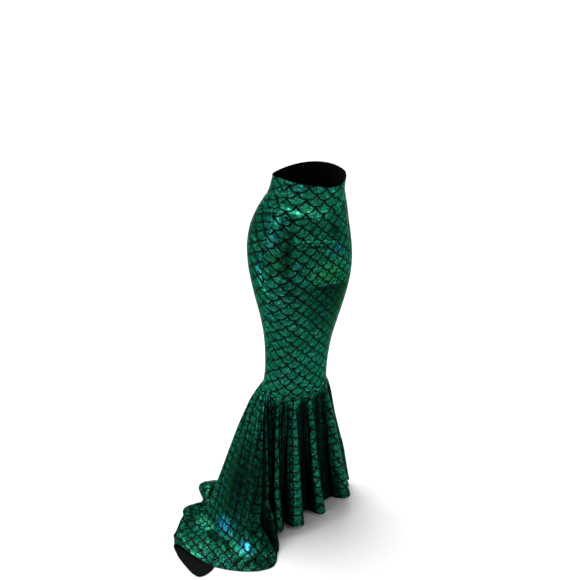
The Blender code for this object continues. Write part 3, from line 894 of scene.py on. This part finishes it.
class Finish(Board):
    """The nodes of one material."""

    def __init__(self, name):
        self.material = bpy.data.materials.new(name)
        self.material.use_nodes = True
        super().__init__(self.material.node_tree)
        self.shader = self.tree.nodes["Principled BSDF"]

    def finish(self, constants, **varying):
        for key, value in constants.items():
            self.join(self.shader.inputs[key], value)
        for key, value in varying.items():
            self.join(self.shader.inputs[key.replace("_", " ")], value)
        return self.material


ARC_POWER = 3.0
LINE_WIDTH = 0.0041
LINE_SOFTNESS = 0.0006

# The foil from yellow green through green to blue, and its flecks.
FOIL_COLOURS = (
    (0.00, (0.011, 0.130, 0.012)),
    (0.30, (0.006, 0.114, 0.036)),
    (0.52, (0.005, 0.101, 0.056)),
    (0.74, (0.005, 0.094, 0.084)),
    (0.90, (0.006, 0.096, 0.130)),
    (1.00, (0.018, 0.200, 0.400)),
)
SPARK, DULL, INK = (0.045, 0.340, 0.240), (0.003, 0.046, 0.032), (0.0032, 0.0034, 0.0034)
FLECK_SIZE = 0.0027
# How far the print sways from its place, and the size of the sway across and down.
PRINT_SWAY, SWAY_ACROSS, SWAY_DOWN = 0.004, 0.07, 0.05
# How uneven the printed lines are, and the size of it.
LINE_UNEVEN, LINE_UNEVEN_SIZE = 0.0012, 0.006
# The foil is duller within these distances of a line, by this much.
NEAR_LINE, NEAR_LINE_DULL = (0.0055, 0.0015), 0.30
# Sizes of the foil's drift in colour, of its lively places and of its mottle.
DRIFT_SIZE, LIVELY_SIZE, MOTTLE_SIZE = 0.045, 0.06, 0.012
# Sizes of its uneven polish, its crinkle and its soft dents, and their depth.
POLISH_SIZE, CRINKLE_SIZE, DENT_SIZE, FOIL_RELIEF = 0.004, 0.0030, 0.016, 0.0008
# The reverse and the thread: sizes of the ribs, the fuzz and the twist.
RIB_SIZE, FUZZ_SIZE, TWIST_SIZE = 0.004, 0.003, 0.0012


def scale_outlines(across, down):
    """Distance in metres to the nearest outline of a half-drop fish scale print."""
    nearest = None
    steepness = 2 * ARC_POWER * ROW_PITCH / SCALE_WIDTH
    row = (down / ROW_PITCH).math("FLOOR")
    for lag in (0, 1):
        own = row - lag
        shift = (own * 0.5).math("FRACT")
        reach = ((across / SCALE_WIDTH + shift).math("FRACT") - 0.5).math("ABSOLUTE") * 2
        arc = 1 - reach**ARC_POWER
        slope = reach ** (ARC_POWER - 1) * steepness
        gap = (down / ROW_PITCH - own - arc).math("ABSOLUTE") * ROW_PITCH
        distance = gap / (slope * slope + 1).math("SQRT")
        nearest = distance if nearest is None else nearest.math("MINIMUM", distance)
    return nearest


def foil_face():
    """Green metallic foil with a black scale print and a fine, rainbow-tinged sparkle, its colour shifted by
    painted reflection colour and scaled by painted light and shade.
    """
    board = Finish("foil_scale_print")
    cloth = board.node("ShaderNodeUVMap", {"uv_map": "cloth"})
    tint = board.node("ShaderNodeAttribute", {"attribute_name": "tint"}, output=2)
    lustre = board.node("ShaderNodeAttribute", {"attribute_name": "lustre"}, output=2)
    sway_across = board.noise(cloth, SWAY_ACROSS, 1.0)
    parts = board.tree.nodes.new("ShaderNodeSeparateXYZ")
    board.join(parts.inputs[0], cloth)
    across = Wire(board, parts.outputs[0]) + (sway_across - 0.5) * PRINT_SWAY
    down = Wire(board, parts.outputs[1]) + (board.noise(cloth, SWAY_DOWN, 1.0) - 0.5) * PRINT_SWAY
    outline = scale_outlines(across, down)
    uneven = board.noise(cloth, LINE_UNEVEN_SIZE) * LINE_UNEVEN - LINE_UNEVEN / 2
    line = (outline + uneven).step(LINE_WIDTH / 2 + LINE_SOFTNESS, LINE_WIDTH / 2 - LINE_SOFTNESS)
    cells = {"Vector": cloth, "Scale": 1 / FLECK_SIZE, "Randomness": 1.0}
    fleck_colour = board.node("ShaderNodeTexVoronoi", None, cells, output=1)
    fleck = board.node("ShaderNodeSeparateColor", None, {0: fleck_colour}, output=0)
    other = board.node("ShaderNodeSeparateColor", None, {0: fleck_colour}, output=1)
    drift = board.noise(cloth, DRIFT_SIZE, 3.0, 0.6)
    lively = board.noise(cloth, LIVELY_SIZE, 2.0).step(0.35, 0.65)
    scatter = lively * 0.6 + 0.25 + tint.math("ABSOLUTE") * 0.6
    # The tint attribute adds painted reflection colour to the foil's hue.
    hue = (drift - 0.5) * 0.6 + (fleck - 0.5) * scatter + tint * 0.45 + 0.5
    foil = board.node("ShaderNodeValToRGB", {"stops": FOIL_COLOURS}, {"Fac": hue})
    spark = other.step(0.80, 0.97) * (lively * 0.65 + 0.35)
    near_line = outline.step(*NEAR_LINE) * NEAR_LINE_DULL
    dull = (other.step(0.45, 0.05) * (lively * 0.45 + 0.45) + near_line).math("MINIMUM", 1.0)
    flecked = board.mix(dull, board.mix(spark, foil, SPARK), DULL)
    mottle = board.noise(cloth, MOTTLE_SIZE, 2.0).step(0.28, 0.72) + 0.48
    # The foil's colour is scaled here by painted light and shade from the mesh, and by a random mottle.
    bright = board.scaled(flecked, lustre * mottle)
    colour = board.mix(line, bright, INK)
    rough = board.noise(cloth, POLISH_SIZE) * 0.12 + 0.27 + line * 0.15
    crinkle = board.noise(cloth, CRINKLE_SIZE, 3.0, 0.65)
    dents = board.noise(cloth, DENT_SIZE, 2.0)
    relief = crinkle * 0.30 + dents * 0.55 - line * 0.10 + fleck * 0.12
    bumps = {"Strength": 0.5, "Distance": FOIL_RELIEF, "Height": relief}
    normal = board.node("ShaderNodeBump", None, bumps)
    constants = {"Specular IOR Level": 0.06, "Specular Tint": (0.36, 0.54, 0.45, 1.0)}
    return board.finish(
        constants, Base_Color=colour, Roughness=rough, Metallic=0.96 - line * 0.20, Normal=normal
    )


def jersey_reverse():
    """Matt black knit of the reverse, with its fine ribs."""
    board = Finish("black_jersey_reverse")
    cloth = board.node("ShaderNodeUVMap", {"uv_map": "cloth"})
    ribs = {"Vector": cloth, "Scale": 1 / RIB_SIZE, "Distortion": 0.4, "Detail": 1.0}
    wale = board.node("ShaderNodeTexWave", {"bands_direction": "X"}, ribs, output=1)
    fuzz = board.noise(cloth, FUZZ_SIZE, 3.0)
    tone = board.mix(fuzz, (0.0012, 0.0016, 0.0016), (0.0038, 0.0046, 0.0046))
    normal = board.node("ShaderNodeBump", None, {"Strength": 0.4, "Distance": 0.0003, "Height": wale})
    constants = {"Specular IOR Level": 0.04, "Sheen Weight": 0.01, "Sheen Roughness": 0.5}
    return board.finish(constants, Base_Color=tone, Roughness=fuzz * 0.15 + 0.72, Normal=normal)


def sewing_thread():
    """Dull green thread of the hem stitches, with its twist."""
    board = Finish("green_thread")
    place = board.node("ShaderNodeTexCoord", None, output=3)
    twist = board.noise(place, TWIST_SIZE, 2.0)
    tone = board.mix(twist, (0.004, 0.030, 0.020), (0.012, 0.070, 0.048))
    normal = board.node("ShaderNodeBump", None, {"Strength": 0.4, "Distance": 0.0002, "Height": twist})
    constants = {"Specular IOR Level": 0.4}
    return board.finish(constants, Base_Color=tone, Roughness=twist * 0.2 + 0.4, Normal=normal)


def studio_floor():
    """Pale, even floor under the skirt."""
    board = Finish("pale_floor")
    place = board.node("ShaderNodeTexCoord", None, output=3)
    mottle = board.noise(place, 0.6, 2.0)
    tone = board.mix(mottle, (0.90, 0.90, 0.90), (0.92, 0.92, 0.92))
    return board.finish({"Specular IOR Level": 0.2}, Base_Color=tone, Roughness=mottle * 0.1 + 0.6)


# ------------------------------------------------------------------------ pieces of cloth

# Painted reflection colour: where the foil is painted drifting to blue (1) or yellow green (-1) under the
# lights.
# angle, level, half angle, half level, drift
TINTS = (
    (70.0, 1.10, 22.0, 0.16, 0.36),
    (84.0, 1.26, 16.0, 0.12, 0.40),
    (-20.0, 1.20, 26.0, 0.06, 0.45),
    (-2.0, 1.30, 34.0, 0.08, -0.9),
    (62.0, 1.20, 14.0, 0.08, -0.3),
    (34.0, 2.15, 6.0, 0.20, 0.6),
    (66.0, 2.20, 8.0, 0.25, 0.4),
    (136.0, 2.62, 12.0, 0.07, 1.2),
    (118.5, 2.74, 8.0, 0.13, 1.2),
    (152.0, 2.70, 8.0, 0.08, -0.15),
    (101.0, 2.90, 6.0, 0.10, -0.9),
    (104.0, 2.30, 8.0, 0.30, 0.4),
    (210.0, 1.30, 30.0, 0.10, 0.4),
    (215.0, 2.70, 20.0, 0.12, 0.6),
    (-100.0, 1.25, 20.0, 0.10, 0.4),
)
# Painted light and shade on the foil down the skirt: level, painted brightness.
PAINTED_LIGHT_DOWN = (
    (0.0, 0.92),
    (0.98, 1.00),
    (1.02, 0.76),
    (1.4, 0.84),
    (1.8, 0.98),
    (2.0, 0.98),
    (2.2, 0.88),
    (3.0, 0.82),
)
# Patches of painted light and painted shade on the foil, painted glints among them: angle, level, half angle,
# half level, amount.
PAINTED_LIGHT_PATCHES = (
    (36.0, 0.80, 38.0, 0.28, 0.90),
    (45.0, 1.16, 9.0, 0.20, -0.80),
    (42.0, 1.36, 15.0, 0.14, -0.55),
    (-15.0, 1.09, 16.0, 0.10, -0.75),
    (14.0, 1.06, 16.0, 0.05, -0.30),
    (-4.0, 1.27, 34.0, 0.08, 0.40),
    (68.0, 1.10, 10.0, 0.14, 0.35),
    (130.0, 2.42, 40.0, 0.44, -0.84),
    (106.0, 2.50, 16.0, 0.42, -0.45),
    (136.0, 2.62, 12.0, 0.06, 1.60),
    (118.5, 2.74, 8.0, 0.13, 0.90),
    (146.0, 2.71, 8.0, 0.06, 1.00),
    (144.0, 2.78, 5.0, 0.05, 0.90),
    (126.0, 2.77, 6.0, 0.06, 0.90),
    (146.0, 2.94, 5.0, 0.045, 1.20),
    (139.0, 2.985, 5.0, 0.030, 1.00),
    (118.0, 2.90, 18.0, 0.14, -0.25),
    (140.0, 2.90, 70.0, 0.26, -0.45),
    (158.0, 2.74, 12.0, 0.14, -0.30),
    (168.0, 2.90, 24.0, 0.16, -0.55),
)
# Painted shade under the hip: angle, drop there, fall per degree, half angle, length down,
# share taken away, length over which it starts.
PAINTED_SHADE_UNDER_HIP = (-12.0, 0.293, -0.00055, 52.0, 0.24, 0.86, 0.008)
# Shade between the folds of the flounce: how far a full crest stands out at shares of the
# drop, the share taken away, its first level and levels to full, and how far round it goes.
FOLD_CREST, SHADE_BETWEEN = ((0.0, 0.04, 0.33, 1.0), (0.003, 0.005, 0.016, 0.028)), 0.95
SHADE_LEVEL, SHADE_FADE, SHADE_ANGLE = 2.01, 0.05, 102
# Above this share of the drop the folds are shaded as they are at it.
SHADE_TOP = 0.27
# Degrees by which the lit side lies off a fold's middle.
FOLD_LIT_SIDE = 2.6
# Painted highlight on the crest of a crease: how much brighter it is, and the limits of the painted
# brightness.
CREST_PAINTED_HIGHLIGHT = 4.6
LEAST_PAINTED_LIGHT, MOST_PAINTED_LIGHT = 0.02, 3

# Columns and rows of each cloth.
BAND_GRID, PANEL_GRID, FLOUNCE_GRID = (150, 36), (170, 190), (400, 112)
# Where columns and rows lie closer together: centre, half width, weight.
EDGE_SPOTS = ((0.0, 0.10, 2.5), (1.0, 0.10, 2.5))
CREASE_SPOTS = ((1.12, 0.07, 1.5), (1.33, 0.10, 1.5))
FLOUNCE_SPOTS = ((2.0, 0.05, 2.5), (2.85, 0.08, 1.2), (3.0, 0.06, 2.5))
SEAM_SPOT = (0.05, 2.0)
# Steps that the columns of a flounce are chosen from, and their weight near its ends.
COLUMN_STEPS, EDGE_WEIGHT, EDGE_REACH = 1600, 2.5, 0.02
# level, weight of the turns there
TURNING_LEVELS = ((3.0, 0.5), (2.5, 0.2), (2.85, 0.5))


def spread(piece, table):
    """Sum of soft patches on a piece: angle, level, half angle, half level, amount."""
    total = np.zeros(piece.level.shape)
    for angle, level, half_angle, half_level, amount in table:
        near = bump(apart(piece.angle, angle) / half_angle)
        total = total + amount * near * bump((piece.level - level) / half_level)
    return total


def tinted(piece):
    """How far the foil's colour drifts over a piece, as painted reflection colour."""
    return spread(piece, TINTS)


def painted_light_over(piece):
    """Painted light and shade on the foil: painted shade deep between folds, painted highlights on the crests
    of creases.
    """
    levels, amounts = zip(*PAINTED_LIGHT_DOWN)
    painted_level = np.interp(piece.level, levels, amounts) * (1 + spread(piece, PAINTED_LIGHT_PATCHES))
    if piece.level.max() == 2:
        # Painted shade under the hip.
        angle, drop, fall, half, length, share, start = PAINTED_SHADE_UNDER_HIP
        below = -piece.outer[..., 2] - drop - fall * apart(piece.angle, angle)
        fade = np.clip(below / start, 0, 1) * np.clip(1 - below / length, 0, 1)
        painted_level = painted_level * (1 - share * fade * bump(apart(piece.angle, angle) / half) ** 0.5)
    if piece.level.max() == 3:
        # Painted shade deep between the folds, lighter on their lit side.
        down = np.maximum(piece.level - 2, SHADE_TOP)
        standing = fold_out(FOLDS, piece.angle + FOLD_LIT_SIDE, down) / np.interp(down, *FOLD_CREST)
        between = (1 - np.clip(standing, 0, 1)) * np.clip((piece.level - SHADE_LEVEL) / SHADE_FADE, 0, 1)
        shaded = np.abs(apart(piece.angle, 0)) < SHADE_ANGLE
        painted_level = painted_level * np.where(shaded, 1 - SHADE_BETWEEN * between, 1)
    # Painted highlights on the crests of creases.
    return np.clip(painted_level, LEAST_PAINTED_LIGHT, MOST_PAINTED_LIGHT) * (1 + CREST_PAINTED_HIGHLIGHT * piece.ridges)


def sew_on(shell, node):
    """Puts a finished piece on the body in place of its plain solid."""
    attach(shell, "root")
    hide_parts(node)


def make_fitted(kind, side, grid, top, face, reverse):
    """One piece of the waistband or the body, from its top level to the next."""
    columns = crowded(0, 1, grid[0], EDGE_SPOTS)
    spots = ((top, *SEAM_SPOT), (top + 1, *SEAM_SPOT), *CREASE_SPOTS)
    levels = crowded(top, top + 1, grid[1], spots)
    name = f"{kind}_{side}"
    piece = Piece(name, side, columns, levels)
    thickness = np.full(piece.level.shape, CLOTH)
    shell = build_shell(piece, thickness, face, reverse, fitted_print(piece))
    sew_on(shell, name)


def flounce_columns(side, count):
    """Shares across a flounce piece that follow its length and its sharp turns."""
    first, last = side_ends(side, SIDE_SEAM[-1][1])
    fine = np.linspace(first, last, COLUMN_STEPS + 1)
    weight = np.full(COLUMN_STEPS, 0.5 / COLUMN_STEPS)
    for level, turning in TURNING_LEVELS:
        steps = np.diff(skirt(fine, level), axis=0)
        length = np.linalg.norm(steps, axis=1)
        turn = np.linalg.norm(np.diff(unit(steps), axis=0), axis=1)
        weight = weight + length / length.sum() + turning * np.r_[turn, 0] / turn.sum()
    edge = np.linspace(0, 1, COLUMN_STEPS)
    ends = EDGE_WEIGHT * bump(edge / EDGE_REACH) + EDGE_WEIGHT * bump((1 - edge) / EDGE_REACH)
    weight = weight * (1 + ends)
    total = np.r_[0, np.cumsum(weight)] / weight.sum()
    return np.interp(np.linspace(0, 1, count + 1), total, np.linspace(0, 1, COLUMN_STEPS + 1))


STITCH_LENGTH, STITCH_GAP, THREAD = 0.0027, 0.0009, 0.00026
STITCH_SIDES = 5
# Rings of a stitch: share of its length, thickness, how far it stands off the cloth.
STITCH_RINGS = ((0.0, 0.35, -0.1), (0.25, 1.0, 0.5), (0.75, 1.0, 0.5), (1.0, 0.35, -0.1))
# Bare length at each end of a row, and the step over which its direction is read.
ROW_END, ROW_STEP = 0.004, 0.001
# How far below the upper edge of the turned hem the two rows run.
ROW_DROPS = (0.001, 0.005)


def stitch_row(piece, height):
    """Points, outward directions and lengths along the cloth at a height above the hem."""
    points, outs = [], []
    for distance, line, out in zip(piece.from_hem, piece.outer, piece.out):
        order = distance[::-1]
        points.append([np.interp(height, order, line[::-1, k]) for k in range(3)])
        outs.append([np.interp(height, order, out[::-1, k]) for k in range(3)])
    points, outs = np.array(points), unit(np.array(outs))
    run = np.r_[0, np.cumsum(np.linalg.norm(np.diff(points, axis=0), axis=1))]
    return points, outs, run


def along_row(at, run, values):
    """Point or direction at a length along a row of stitches."""
    return np.array([np.interp(at, run, values[:, k]) for k in range(3)])


def make_stitches(piece, heights, thread):
    """Rows of small stitches as one mesh."""
    rings, faces = [], []
    turn = np.linspace(0, 2 * math.pi, STITCH_SIDES, endpoint=False)
    for height in heights:
        points, outs, run = stitch_row(piece, height)
        starts = np.arange(ROW_END, run[-1] - ROW_END, STITCH_LENGTH + STITCH_GAP)
        for start in starts:
            for share, size, lift in STITCH_RINGS:
                at = start + share * STITCH_LENGTH
                place = along_row(at, run, points)
                out = unit(along_row(at, run, outs))
                ahead = along_row(at + ROW_STEP, run, points) - place
                side = unit(np.cross(ahead, out))
                ring = np.cos(turn)[:, None] * side + np.sin(turn)[:, None] * out
                rings.append(place + out * THREAD * lift + ring * THREAD * size)
            base = (len(rings) - len(STITCH_RINGS)) * STITCH_SIDES
            last = len(STITCH_RINGS) - 1
            for k in range(last):
                for i in range(STITCH_SIDES):
                    j = (i + 1) % STITCH_SIDES
                    low, high = base + k * STITCH_SIDES, base + (k + 1) * STITCH_SIDES
                    faces.append((low + i, low + j, high + j, high + i))
            faces.append(tuple(base + i for i in reversed(range(STITCH_SIDES))))
            faces.append(tuple(base + last * STITCH_SIDES + i for i in range(STITCH_SIDES)))
    mesh = bpy.data.meshes.new(piece.name + "_hem_stitches")
    mesh.from_pydata(np.concatenate(rings).tolist(), [], faces)
    mesh.materials.append(thread)
    mesh.shade_smooth()
    stitches = bpy.data.objects.new(piece.name + "_hem_stitches", mesh)
    bpy.context.scene.collection.objects.link(stitches)
    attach(stitches, "root")
    return stitches


def make_flounce(side, face, reverse, thread):
    """One piece of the flounce, with the turned hem and its stitches."""
    levels = crowded(2, 3, FLOUNCE_GRID[1], FLOUNCE_SPOTS)
    name = "flounce_" + side
    piece = Piece(name, side, flounce_columns(side, FLOUNCE_GRID[0]), levels)
    turned = piece.from_hem < HEM_DEPTH
    thickness = np.where(turned, 2 * CLOTH, CLOTH)
    lie = flounce_print(piece, FRONT_GRAIN if side == "front" else BACK_GRAIN)
    shell = build_shell(piece, thickness, face, reverse, lie)
    stitches = make_stitches(piece, [HEM_DEPTH - drop for drop in ROW_DROPS], thread)
    sew_on(shell, name)


def dress():
    """All the cloth of the skirt, in its materials."""
    face, reverse, thread = foil_face(), jersey_reverse(), sewing_thread()
    for side in ("front", "back"):
        make_fitted("waistband", side, BAND_GRID, 0, face, reverse)
        make_fitted("panel", side, PANEL_GRID, 1, face, reverse)
        make_flounce(side, face, reverse, thread)


# --------------------------------------------------------------------------------- studio

CAMERA_TURN, CAMERA_PITCH = math.radians(38.0), math.radians(28.5)
CAMERA_SHIFT_RIGHT, CAMERA_BACK, CAMERA_HEIGHT = -0.05, 2.916, 1.25
FOCAL_PIXELS, FRAME_PIXELS, SENSOR = 1244.0, 580.0, 36.0
# The floor: radius, number of sides, gap under the skirt.
FLOOR_RADIUS, FLOOR_SIDES, FLOOR_GAP = 7.0, 96, 0.0004

RIGHT = Vector((math.cos(CAMERA_TURN), -math.sin(CAMERA_TURN), 0))
AWAY = Vector((math.sin(CAMERA_TURN), math.cos(CAMERA_TURN), 0))


def make_camera():
    data = bpy.data.cameras.new("camera")
    data.sensor_width = SENSOR
    data.lens = FOCAL_PIXELS / FRAME_PIXELS * SENSOR
    camera = bpy.data.objects.new("camera", data)
    camera.location = RIGHT * CAMERA_SHIFT_RIGHT - AWAY * CAMERA_BACK + Vector((0, 0, CAMERA_HEIGHT))
    looking = AWAY * math.cos(CAMERA_PITCH) - Vector((0, 0, math.sin(CAMERA_PITCH)))
    camera.rotation_mode = "QUATERNION"
    camera.rotation_quaternion = looking.to_track_quat("-Z", "Y")
    bpy.context.scene.collection.objects.link(camera)
    bpy.context.scene.camera = camera


# Soft boxes, placed as the camera sees them.
# name, to the right, away, height, width, length, watts
SOFT_BOXES = (
    ("key", -1.9, -1.3, 0.35, 0.6, 1.2, 16.0),
    ("rim", 2.0, 0.6, 0.3, 0.4, 1.6, 10.0),
    ("front", 0.5, -2.6, 1.9, 1.0, 0.5, 14.0),
)
AIM = Vector((0, 0.05, -0.45))

# The broad overhead light: to the right, away, up, then its strength and its apparent size.
OVERHEAD, OVERHEAD_STRENGTH, OVERHEAD_SPREAD = (-0.45, 0.35, 1.0), 2.2, 50.0
OVERHEAD_DISTANCE = 3


def light_at(name, kind, place, aim):
    """A light of the studio, turned to a point."""
    data = bpy.data.lights.new(name, kind)
    light = bpy.data.objects.new(name, data)
    light.location = place
    light.rotation_mode = "QUATERNION"
    light.rotation_quaternion = (aim - place).to_track_quat("-Z", "Y")
    bpy.context.scene.collection.objects.link(light)
    return data


def make_lights():
    for name, right, away, height, width, length, watts in SOFT_BOXES:
        box = light_at(name, "AREA", RIGHT * right + AWAY * away + Vector((0, 0, height)), AIM)
        box.shape = "RECTANGLE"
        box.size, box.size_y, box.energy = width, length, watts
    right, away, up = OVERHEAD
    place = (RIGHT * right + AWAY * away + Vector((0, 0, up))) * OVERHEAD_DISTANCE
    broad = light_at("overhead", "SUN", place, Vector((0, 0, 0)))
    broad.energy, broad.angle = OVERHEAD_STRENGTH, math.radians(OVERHEAD_SPREAD)


# The room that the foil mirrors: its bright side as the camera sees it, and its two brightnesses.
BRIGHT_SIDE, ROOM_DIM, ROOM_BRIGHT = (-0.74, 0.60, 0.30), 0.20, 0.90
# How squarely a direction faces the bright side where the dim ends and where the bright begins.
ROOM_EDGE = (-0.45, 0.75)


def make_backdrop():
    """White where the camera looks, and a room with a bright and a dim side for the foil to mirror."""
    world = bpy.data.worlds.new("studio")
    bpy.context.scene.world = world
    world.use_nodes = True
    board = Board(world.node_tree)
    sky = world.node_tree.nodes["Background"]
    right, away, up = BRIGHT_SIDE
    side = tuple(RIGHT * right + AWAY * away + Vector((0, 0, up)))
    heading = board.node("ShaderNodeTexCoord", None, output=0)
    towards = {0: heading, 1: side}
    facing = board.node("ShaderNodeVectorMath", {"operation": "DOT_PRODUCT"}, towards, output=1)
    room = facing.step(*ROOM_EDGE) * (ROOM_BRIGHT - ROOM_DIM) + ROOM_DIM
    seen = board.node("ShaderNodeLightPath", None)
    board.join(sky.inputs["Strength"], room * (1 - seen) + seen)
    board.join(sky.inputs["Color"], (1, 1, 1))
    bpy.context.scene.view_settings.view_transform = "Standard"


def make_floor():
    mesh = bpy.data.meshes.new("floor")
    turns = [k * 2 * math.pi / FLOOR_SIDES for k in range(FLOOR_SIDES)]
    rim = [(FLOOR_RADIUS * math.cos(a), FLOOR_RADIUS * math.sin(a), FLOOR - FLOOR_GAP) for a in turns]
    mesh.from_pydata(rim, [], [tuple(range(FLOOR_SIDES))])
    mesh.materials.append(studio_floor())
    floor = bpy.data.objects.new("floor", mesh)
    bpy.context.scene.collection.objects.link(floor)


make_camera()
make_lights()
make_backdrop()
make_floor()
dress()
